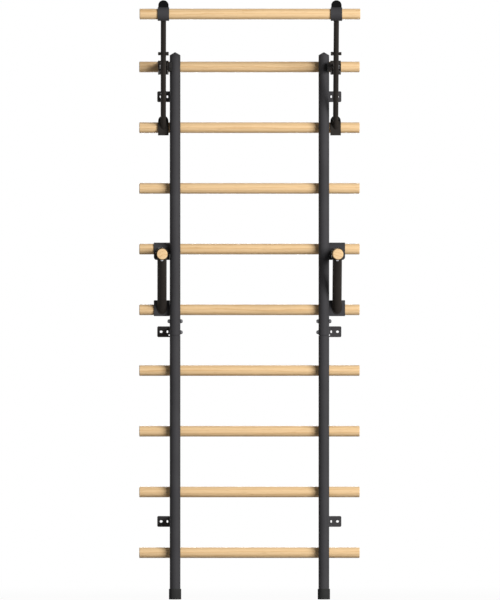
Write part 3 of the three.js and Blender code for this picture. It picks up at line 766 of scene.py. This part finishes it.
def joint_bolt(which, capped):
    """Bolt across a post with a domed head inside and, if capped, a cap nut outside."""
    low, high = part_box(f"right_joint_bolt_{which}")
    z = (low.z + high.z) / 2
    inner = POST_X - POST_R
    parts = [bolt_head(inner, -1, z, inner - low.x)]
    outer = POST_X + POST_R
    if capped:
        parts.append(bolt_head(outer, 1, z, high.x - outer))
    parts.append(rod_x(inner, outer - TUBE_WALL, POST_Y, z, JOINT_BOLT_R, SMALL_ROUND))
    return joined(*parts)


class WALLBARS_OT_joint_bolts(Operator):
    """Domed bolts across the joint of the upper and lower tubes"""

    bl_idname = "wallbars.joint_bolts"
    bl_label = "Joint bolts"

    def execute(self, context):
        edge = context.scene.wall_bars_sizes.bolt_edge
        for which, capped in (("upper", True), ("lower", False)):
            make = partial(joint_bolt, which, capped)
            add_both(f"joint_bolt_{which}", make, "zinc", "frame", edge)
        return {"FINISHED"}


def wall_bracket(node):
    """Strip from the post back to the wall, bent outwards into a flange with two slots."""
    low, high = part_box(node)
    z = (low.z + high.z) / 2
    inner = low.x
    bend_x, bend_y = inner + BRACKET_STEEL + BRACKET_BEND, -BRACKET_STEEL - BRACKET_BEND
    strip = [(high.x, -BRACKET_STEEL), (high.x, 0)]
    strip += arc(bend_x, bend_y, BRACKET_STEEL + BRACKET_BEND, pi / 2, pi, steps=12)
    strip += [(inner, POST_Y), (inner + BRACKET_STEEL, POST_Y)]
    strip += arc(bend_x, bend_y, BRACKET_BEND, pi, pi / 2, steps=12)
    bracket = slab(strip, high.z - low.z, Matrix.Translation((0, 0, low.z)))
    outline = rounded(POST_X, z, 2 * (high.x - POST_X), high.z - low.z, BRACKET_CORNER)
    bracket = trimmed(bracket, slab(outline, 4 * PAST, seen_from_front(PAST)))
    post = rod((POST_X, POST_Y, low.z - PAST), (POST_X, POST_Y, high.z + PAST), POST_R)
    bracket = cut(bracket, post)
    for x, width, height in BRACKET_SLOTS:
        slot = rounded(x, z, width, height, min(width, height) / 2 - HAIR)
        bracket = cut(bracket, slab(slot, 2 * BRACKET_CUT, seen_from_front(BRACKET_CUT)))
    if low.z < SEAM_Z < high.z:
        relief = rod_y(2 * bend_y, BRACKET_CUT, SEAM_RELIEF_X, SEAM_Z, SEAM_RELIEF_R, SMALL_ROUND)
        bracket = cut(bracket, relief)
    return bracket


class WALLBARS_OT_brackets(Operator):
    """Bent brackets that hold the posts off the wall"""

    bl_idname = "wallbars.brackets"
    bl_label = "Wall brackets"

    def execute(self, context):
        edge = context.scene.wall_bars_sizes.steel_edge
        for place in BRACKETS:
            name = f"wall_bracket_{place}"
            add_both(name, partial(wall_bracket, f"right_{name}"), "post", "frame", edge)
        return {"FINISHED"}


def bar_ring(outer, inner):
    """Ring round the pull-up bar, as wide as its collar."""
    half = node_size("right_bar_collar").x / 2
    place = Matrix.Translation((CARRIER_X, BAR.y, BAR.z)) @ ALONG_X
    return lathe(pipe_profile(outer, inner, -half, half), place)


def bar_collar():
    """Ring that holds the pull-up bar, split on top."""
    outer = node_size("right_bar_collar").y / 2
    half = TONGUE_PLASTIC / 2 + PIECE_GAP
    split = block((0, BAR.y - half, BAR.z), (CUT_REACH, BAR.y + half, BAR.z + 2 * outer))
    return cut(bar_ring(outer, outer - COLLAR_STEEL), split)


def tongue_outline(low, top):
    """Tongue with a round top, in (x, z)."""
    r = TONGUE_WIDTH / 2
    outline = [(CARRIER_X - r, low), (CARRIER_X + r, low)]
    return outline + arc(CARRIER_X, top - r, r, 0, pi, steps=32)


def bar_liner():
    """Plastic sleeve round the bar with a tongue above it."""
    bore = RUNG_R + PIECE_GAP
    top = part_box("right_bar_liner")[1].z
    place = seen_from_front(BAR.y + TONGUE_PLASTIC / 2)
    tongue = slab(tongue_outline(BAR.z, top), TONGUE_PLASTIC, place)
    tongue = cut(tongue, bore_x(BAR.y, BAR.z, bore, ROUND))
    return fused(bar_ring(bore + LINER_PLASTIC, bore), tongue)


class WALLBARS_OT_pullup_bar(Operator):
    """Wooden pull-up bar with its collars and liners"""

    bl_idname = "wallbars.pullup_bar"
    bl_label = "Pull-up bar"

    def execute(self, context):
        sizes = context.scene.wall_bars_sizes
        bar = wooden_bar("pullup_bar", sizes.wood_nose)
        add_piece("pullup_bar_fine", bar, "wood", "pullup_frame", ("pullup_bar",))
        add_both("bar_collar", bar_collar, "carrier_light", "pullup_frame", sizes.steel_edge)
        add_both("bar_liner", bar_liner, "plastic", "pullup_frame", sizes.moulded_edge)
        return {"FINISHED"}


def saddle_outline(inner, grow):
    """Round above the middle of the rung and tapered to a lip below it, in (y, z)."""
    outer = SADDLE_R + grow
    top = pi - SADDLE_TOP
    low = SADDLE_Z - SADDLE_DROP - grow
    lip = RUNG_Y - SADDLE_R + SADDLE_STEEL - SADDLE_LIP - grow
    outline = arc(RUNG_Y, SADDLE_Z, outer, top, pi, steps=20)
    start = Vector((RUNG_Y - outer, SADDLE_Z))
    control = Vector((RUNG_Y - outer, low + SADDLE_DROP / 3))
    end = Vector((lip, low))
    for i in range(1, SADDLE_TAPER_STEPS + 1):
        t = i / SADDLE_TAPER_STEPS
        outline.append(tuple(start.lerp(control, t).lerp(control.lerp(end, t), t)))
    outline.append((RUNG_Y - inner, low))
    return outline + arc(RUNG_Y, SADDLE_Z, inner, pi, top, steps=20)


def lower_saddle():
    """Steel half ring that presses on the second rung."""
    outline = saddle_outline(SADDLE_R - SADDLE_STEEL, 0)
    return slab(outline, CARRIER_WIDTH, seen_from_side(CARRIER_LOW.x))


def saddle_liner():
    """Plastic lining of the saddle with a tongue behind the strut."""
    outer = SADDLE_R - SADDLE_STEEL - PIECE_GAP
    inner = outer - SADDLE_LINER
    low = SADDLE_Z - SADDLE_DROP + SADDLE_LINER_SHORT
    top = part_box("right_saddle_liner")[1].z
    front, rear = TONGUE_ROOT
    outline = arc(RUNG_Y, SADDLE_Z, outer, pi - front, pi)
    outline += [(RUNG_Y - outer, low), (RUNG_Y - inner, low)]
    outline += arc(RUNG_Y, SADDLE_Z, inner, pi, pi - rear)
    outline += [(RUNG_Y - inner * cos(rear), top), (RUNG_Y - outer * cos(front), top)]
    liner = slab(outline, CARRIER_WIDTH, seen_from_side(CARRIER_LOW.x))
    return trimmed(liner, slab(tongue_outline(low, top), 3 * PAST, seen_from_front(0)))


def arm_strap(grow):
    """Flat strap from the pin to the cross bolt, grown on all sides to cut its slot."""
    run = Vector((CROSS_BOLT.y - PIN_Y, CROSS_BOLT.z - HOOK_Z))
    tip = ARM_TIP_R + grow
    strap = rounded((run.length + tip) / 2, 0, run.length + tip, 2 * tip, tip - HAIR, steps=12)
    turn = Matrix.Translation((0, PIN_Y, HOOK_Z)) @ Matrix.Rotation(atan2(run.y, run.x), 4, "X")
    depth = ARM_STEEL + 2 * grow
    return slab(strap, depth, turn @ seen_from_side(CARRIER_X - depth / 2))


def strut():
    """Round strut from the saddle to the collar with a slot for the arm."""
    foot = Vector((CARRIER_X, RUNG_Y, SADDLE_Z)) + STRUT_FOOT
    head = Vector((CARRIER_X, BAR.y, BAR.z))
    along = (head - foot).normalized()
    collar = node_size("right_bar_collar").y / 2
    bar = rod(foot, head - along * (collar - COLLAR_STEEL + WELD_SUNK), STRUT_R, STRUT_ROUND)
    saddle = slab(saddle_outline(PIECE_GAP, -WELD_SUNK), CUT_REACH, seen_from_side(0))
    path = []
    for point in lines_of_rod(foot, along, STRUT_R):
        near = (head - point).dot(along)
        miss = (head - point - near * along).yz.length
        path.append(point + along * (near - (collar**2 - miss**2) ** 0.5))
    return joined(cut(bar, saddle, arm_strap(PIECE_GAP)), weld(path, along))


def arm():
    """Flat arm from the pin of the hook to the cross bolt, with a wide eye on the pin."""
    eye = rod_x(CARRIER_X - STRUT_R, CARRIER_X + STRUT_R, PIN_Y, HOOK_Z, ARM_EYE_R, STRUT_ROUND)
    pin = bore_x(PIN_Y, HOOK_Z, PIN_R + PIECE_GAP)
    bolt = bore_x(CROSS_BOLT.y, CROSS_BOLT.z, CROSS_BOLT_R + PIECE_GAP)
    return cut(fused(eye, arm_strap(0)), pin, bolt)


def cross_bolt():
    """Bolt with a round head and a nut, across the strut and the arm."""
    low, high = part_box("right_cross_bolt")
    at = (CROSS_BOLT.y, CROSS_BOLT.z)
    r = (high.z - low.z) / 2
    head = rod_x(low.x, CARRIER_X - STRUT_R, *at, r, SMALL_ROUND)
    nut = rod_x(CARRIER_X + STRUT_R, high.x, *at, r, HEXAGON)
    shank = rod_x(CARRIER_X - STRUT_R, CARRIER_X + STRUT_R, *at, CROSS_BOLT_R, SMALL_ROUND)
    return joined(head, nut, shank)


def upper_hook():
    """Two cheeks joined over the top rung and in front of it, with a nose for the pin."""
    low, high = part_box("right_upper_hook")
    inner = RUNG_R + HOOK_CLEARANCE
    outer = inner + HOOK_WEB
    rear, front = HOOK_Z - HOOK_REAR_DROP, HOOK_Z - HOOK_FRONT_DROP
    nose = pi - asin(HOOK_NOSE_R / outer)
    cheek = [(RUNG_Y + outer, rear)] + arc(RUNG_Y, HOOK_Z, outer, 0, nose, steps=32)
    cheek += arc(PIN_Y, HOOK_Z, HOOK_NOSE_R, pi / 2, 1.5 * pi)
    cheek += [(RUNG_Y - outer, front), (RUNG_Y - inner, front)]
    cheek += arc(RUNG_Y, HOOK_Z, inner, pi, 0, steps=40) + [(RUNG_Y + inner, rear)]
    hook = slab(cheek, high.x - low.x, seen_from_side(low.x))
    head, sill = HOOK_Z + HOOK_WINDOW, HOOK_Z - HOOK_WINDOW
    gap = arc(RUNG_Y, HOOK_Z, outer, nose, pi - asin(HOOK_WINDOW / outer), steps=8)
    gap += [(RUNG_Y - inner / 2, head), (RUNG_Y - inner / 2, sill), (RUNG_Y - outer, sill)]
    gap += [(RUNG_Y - outer, front - PAST), (PIN_Y - PAST, front - PAST)]
    gap += [(PIN_Y - PAST, HOOK_Z + PAST), (gap[0][0], HOOK_Z + PAST)]
    width = high.x - low.x - 2 * HOOK_CHEEK
    between = slab(gap, width, seen_from_side(low.x + HOOK_CHEEK))
    return cut(hook, between, bore_x(PIN_Y, HOOK_Z, PIN_R + PIECE_GAP))


class WALLBARS_OT_pullup_carriers(Operator):
    """Struts, arms, hooks and saddles that carry the pull-up bar"""

    bl_idname = "wallbars.pullup_carriers"
    bl_label = "Pull-up carriers"

    def execute(self, context):
        sizes = context.scene.wall_bars_sizes
        edge = sizes.steel_edge
        add_both("strut", strut, "carrier", "pullup_frame", edge / 2)
        add_both("arm", arm, "carrier", "pullup_frame", edge)
        add_both("cross_bolt", cross_bolt, "carrier", "pullup_frame", 3 * sizes.bolt_edge)
        add_both("upper_hook", upper_hook, "carrier", "pullup_hooks", edge)
        add_both("lower_saddle", lower_saddle, "carrier", "pullup_frame", edge)
        add_both("saddle_liner", saddle_liner, "plastic", "pullup_frame", edge)
        return {"FINISHED"}


def knob_grip():
    """Lobed hand knob."""
    low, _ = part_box("right_knob")
    steps = KNOB_LOBES * KNOB_LOBE_STEPS
    outline = []
    for i in range(steps):
        a = tau * i / steps
        r = KNOB_R - KNOB_LOBE_DEPTH / 2 * (1 - cos(KNOB_LOBES * a))
        outline.append((PIN_Y + r * cos(a), HOOK_Z + r * sin(a)))
    return slab(outline, KNOB_THICKNESS, seen_from_side(low.x))


def pin_bush():
    """Black plastic bush on the pin, between the eye of the arm and the inner cheek: partly a real
    spacer, partly painted shade, as its black stands for the shade in the inner gap of the hook.
    """
    inner = CARRIER_LOW.x + HOOK_CHEEK + PIECE_GAP
    outer = CARRIER_X - STRUT_R - PIECE_GAP
    place = Matrix.Translation((0, PIN_Y, HOOK_Z)) @ ALONG_X
    return lathe(pipe_profile(BUSH_R, PIN_R + PIECE_GAP, inner, outer), place, SMALL_ROUND)


def knob_pin():
    """Plated pin through both cheeks of the hook."""
    low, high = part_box("right_knob")
    return rod_x(low.x + KNOB_THICKNESS, high.x, PIN_Y, HOOK_Z, PIN_R, SMALL_ROUND)


class WALLBARS_OT_knobs(Operator):
    """Hand knobs with their pins and bushes"""

    bl_idname = "wallbars.knobs"
    bl_label = "Knobs"

    def execute(self, context):
        sizes = context.scene.wall_bars_sizes
        add_both("knob", knob_grip, "plastic_knob", "{side}_knob", sizes.moulded_edge, 3)
        add_both("knob_pin", knob_pin, "zinc_bright", "{side}_knob", sizes.bolt_edge, node=False)
        # Bushes only on the inner side of the arms: their black is painted shade in the gap next to
        # the post.
        add_both("pin_bush", pin_bush, "plastic", "pullup_hooks", sizes.bolt_edge, node=False)
        return {"FINISHED"}


def dip_hook_plate():
    """Plate bent over the top of a rung, so near to the post that no light shows between them."""
    low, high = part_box("right_dip_hook_plate")
    low = low - Vector((DIP_PLATE_REACH, 0, DIP_HOOK_LOWER))
    outer = RUNG_Y - low.y
    inner = outer - DIP_STEEL
    outline = [(RUNG_Y + outer, DIP_Z - DIP_REAR_DROP)]
    outline += arc(RUNG_Y, DIP_Z, outer, 0, pi, steps=40)
    outline += [(RUNG_Y - outer, low.z), (RUNG_Y - inner, low.z)]
    outline += arc(RUNG_Y, DIP_Z, inner, pi, 0, steps=40)
    outline.append((RUNG_Y + inner, DIP_Z - DIP_REAR_DROP))
    plate = slab(outline, high.x - low.x, seen_from_side(low.x))
    middle = (high.x - DIP_HOOK_CORNER, low.z + DIP_HOOK_CORNER)
    corner = [(middle[0], low.z - PAST), (high.x + PAST, low.z - PAST), (high.x + PAST, middle[1])]
    corner += arc(*middle, DIP_HOOK_CORNER, 0, -pi / 2, steps=12)
    return cut(plate, slab(corner, 2 * PAST, seen_from_front(RUNG_Y)))


def dip_rest_plate():
    """Flat plate that rests on the rung below, as near to the post as the hook plate."""
    low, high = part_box("right_dip_rest_plate")
    low = low - Vector((DIP_PLATE_REACH, 0, 0))
    middle, size = (low + high) / 2, high - low
    outline = rounded(middle.x, middle.z, size.x, size.z, DIP_REST_CORNER)
    return slab(outline, size.y, seen_from_front(high.y))


def dip_socket():
    """Steel sleeve round the handle with a weld bead at the plate."""
    low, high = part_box("right_dip_socket")
    outer = (high.x - low.x) / 2
    place = Matrix.Translation((DIP.x, 0, DIP.z)) @ ALONG_Y
    tube = lathe(pipe_profile(outer, RUNG_R + PIECE_GAP, low.y, DIP_FACE_Y), place)
    bead = lathe(arc(outer, DIP_FACE_Y, WELD_R, 0, tau, steps=16), place)
    return joined(tube, bead)


def dip_handle():
    """Wooden grip with a rounded front end."""
    low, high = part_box("right_dip_handle")
    nose = bpy.context.scene.wall_bars_sizes.wood_nose
    place = Matrix.Translation((DIP.x, 0, DIP.z)) @ ALONG_Y
    return lathe(nosed_profile((high.x - low.x) / 2, low.y, high.y, nose, 0), place)


def dip_strut():
    """Round strut from the rest plate up to the socket."""
    low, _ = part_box("right_dip_strut")
    socket = node_size("right_dip_socket").x / 2
    along = Vector((0, -sin(DIP_STRUT_LEAN), cos(DIP_STRUT_LEAN)))
    foot = Vector((DIP.x, DIP_FACE_Y, low.z + DIP_STRUT_R / sin(DIP_STRUT_LEAN)))
    head = foot + along * ((DIP.z - foot.z) / along.z)
    bar = rod(foot - along * 2 * DIP_STRUT_R, head, DIP_STRUT_R)
    plate = block((0, DIP_FACE_Y, 0), (CUT_REACH, PAST, DIP.z))
    low_path, high_path = [], []
    for point in lines_of_rod(foot, along, DIP_STRUT_R):
        under = DIP.z - (socket**2 - (point.x - DIP.x) ** 2) ** 0.5
        low_path.append(point + along * ((DIP_FACE_Y - point.y) / along.y))
        high_path.append(point + along * ((under - point.z) / along.z))
    strut = cut(bar, plate, rod_y(-CUT_REACH, 0, DIP.x, DIP.z, socket - WELD_SUNK))
    return joined(strut, weld(low_path, along), weld(high_path, along))


def dip_screw():
    """Pan head screw under the socket."""
    low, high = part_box("right_dip_screw")
    middle = (low + high) / 2
    r = (high.y - low.y) / 2
    top = DIP.z - node_size("right_dip_socket").x / 2
    points = [(r * share, low.z + rise) for share, rise in DIP_SCREW_HEAD]
    points += [(r, top), (DIP_SCREW_R, top), (DIP_SCREW_R, high.z), (0, high.z)]
    return lathe(points, Matrix.Translation((middle.x, middle.y, 0)), SMALL_ROUND)


class WALLBARS_OT_dip_handles(Operator):
    """Dip handles with their plates, sockets, struts and screws"""

    bl_idname = "wallbars.dip_handles"
    bl_label = "Dip handles"

    def execute(self, context):
        edge = context.scene.wall_bars_sizes.steel_edge
        body = "{side}_dip"
        add_both("dip_hook_plate", dip_hook_plate, "carrier_light", body, edge)
        add_both("dip_rest_plate", dip_rest_plate, "carrier_light", body, edge)
        add_both("dip_socket", dip_socket, "carrier", body, edge)
        add_both("dip_strut", dip_strut, "carrier", body)
        add_both("dip_handle", dip_handle, "wood_handle", body)
        add_both("dip_screw", dip_screw, "zinc_bright", body)
        return {"FINISHED"}


def white_where_seen(tree, shaded, output, kind, share):
    """A share of plain white in what the camera, gloss and glass see, over the given shader."""
    path = add_node(tree, "ShaderNodeLightPath")
    seen = add_node(
        tree, "ShaderNodeMath",
        {0: path.outputs["Is Camera Ray"], 1: path.outputs["Is Glossy Ray"]}, operation="MAXIMUM",
    ).outputs[0]
    seen = add_node(
        tree, "ShaderNodeMath",
        {0: seen, 1: path.outputs["Is Transmission Ray"]}, operation="MAXIMUM",
    ).outputs[0]
    seen = add_node(tree, "ShaderNodeMath", {0: seen, 1: share}, operation="MULTIPLY").outputs[0]
    white = add_node(tree, kind, {"Color": (1, 1, 1, 1), "Strength": 1})
    mix = add_node(tree, "ShaderNodeMixShader", {0: seen, 1: shaded, 2: white.outputs[0]})
    tree.links.new(mix.outputs[0], output.inputs["Surface"])


def floor_share(tree, near):
    """Share of plain white in the floor: all far from the object, less where its shadow falls."""
    place = add_node(tree, "ShaderNodeTexCoord").outputs["Object"]
    distance = add_node(tree, "ShaderNodeVectorMath", {0: place}, operation="LENGTH")
    fade = {
        "Value": distance.outputs["Value"],
        "From Min": FLOOR_NEAR, "From Max": FLOOR_HALF, "To Min": near, "To Max": 1,
    }
    return add_node(tree, "ShaderNodeMapRange", fade, interpolation_type="SMOOTHSTEP").outputs[0]


def make_world(strength):
    world = bpy.data.worlds.new("studio")
    world.use_nodes = True
    tree = world.node_tree
    background = next(node for node in tree.nodes if node.type == "BACKGROUND")
    output = next(node for node in tree.nodes if node.type == "OUTPUT_WORLD")
    background.inputs["Color"].default_value = (1, 1, 1, 1)
    background.inputs["Strength"].default_value = strength
    white_where_seen(tree, background.outputs[0], output, "ShaderNodeBackground", 1)
    bpy.context.scene.world = world


def add_lamp(name, place, power, size):
    """Square lamp that shines on the middle of the object and isn't seen itself."""
    lamp = bpy.data.lights.new(name, "AREA")
    lamp.shape = "SQUARE"
    lamp.size = size
    lamp.energy = power
    item = bpy.data.objects.new(name, lamp)
    item.location = place
    item.rotation_euler = (LAMP_AIM - place).to_track_quat("-Z", "Y").to_euler()
    item.visible_camera = False
    bpy.context.scene.collection.objects.link(item)


class WALLBARS_OT_stage(Operator):
    """Floor, lamps, background and camera"""

    bl_idname = "wallbars.stage"
    bl_label = "Stage"

    def execute(self, context):
        scene = context.scene
        stage = scene.wall_bars_stage
        scene.view_settings.view_transform = "Standard"
        make_world(stage.ambient)
        bm = bmesh.new()
        bmesh.ops.create_grid(bm, x_segments=1, y_segments=1, size=FLOOR_HALF)
        mesh = bpy.data.meshes.new("floor")
        bm.to_mesh(mesh)
        bm.free()
        floor = bpy.data.objects.new("floor", mesh)
        scene.collection.objects.link(floor)
        material = bpy.data.materials.new("floor")
        material.use_nodes = True
        tree = material.node_tree
        shader = next(node for node in tree.nodes if node.type == "BSDF_PRINCIPLED")
        output = next(node for node in tree.nodes if node.type == "OUTPUT_MATERIAL")
        shader.inputs["Base Color"].default_value = (*stage.floor, 1)
        shader.inputs["Roughness"].default_value = FLOOR_ROUGHNESS
        share = floor_share(tree, stage.floor_white)
        white_where_seen(tree, shader.outputs[0], output, "ShaderNodeEmission", share)
        mesh.materials.append(material)
        for name, (place, size) in LAMPS.items():
            add_lamp(name, place, getattr(stage, name), size)
        camera = bpy.data.cameras.new("camera")
        camera.sensor_fit = "VERTICAL"
        camera.sensor_height = SENSOR
        camera.lens = stage.lens
        far = stage.view_height * stage.lens / SENSOR
        camera.clip_end = 2 * far
        centre = Vector((VIEW_X, VIEW_Y, stage.view_height / 2 - VIEW_BELOW))
        away = Vector((-sin(stage.azimuth), -cos(stage.azimuth), tan(stage.elevation))).normalized()
        eye = bpy.data.objects.new("camera", camera)
        eye.location = centre + away * far
        eye.rotation_euler = (-away).to_track_quat("-Z", "Y").to_euler()
        scene.collection.objects.link(eye)
        scene.camera = eye
        return {"FINISHED"}


STEPS = (
    "stage", "rungs", "posts", "joint_bolts", "brackets", "pullup_bar", "pullup_carriers", "knobs",
    "dip_handles",
)


class WALLBARS_PT_sidebar(Panel):
    """Lists the pieces of the wall bars and their settings"""

    bl_idname = "WALLBARS_PT_sidebar"
    bl_label = "Swedish wall bars"
    bl_space_type = "VIEW_3D"
    bl_region_type = "UI"
    bl_category = "Wall bars"

    def draw(self, context):
        scene = context.scene
        for group in (scene.wall_bars_finish, scene.wall_bars_sizes, scene.wall_bars_stage):
            for name in group.__annotations__:
                self.layout.prop(group, name)
        for step in STEPS:
            self.layout.operator(f"wallbars.{step}")


CLASSES = (
    WallBarsFinish,
    WallBarsSizes,
    WallBarsStage,
    WALLBARS_OT_rungs,
    WALLBARS_OT_posts,
    WALLBARS_OT_joint_bolts,
    WALLBARS_OT_brackets,
    WALLBARS_OT_pullup_bar,
    WALLBARS_OT_pullup_carriers,
    WALLBARS_OT_knobs,
    WALLBARS_OT_dip_handles,
    WALLBARS_OT_stage,
    WALLBARS_PT_sidebar,
)


def register():
    for item in CLASSES:
        bpy.utils.register_class(item)
    bpy.types.Scene.wall_bars_finish = PointerProperty(type=WallBarsFinish)
    bpy.types.Scene.wall_bars_sizes = PointerProperty(type=WallBarsSizes)
    bpy.types.Scene.wall_bars_stage = PointerProperty(type=WallBarsStage)


def unregister():
    del bpy.types.Scene.wall_bars_stage
    del bpy.types.Scene.wall_bars_sizes
    del bpy.types.Scene.wall_bars_finish
    for item in reversed(CLASSES):
        bpy.utils.unregister_class(item)


def main():
    register()
    for step in STEPS:
        getattr(bpy.ops.wallbars, step)()


if __name__ == "__main__":
    main()
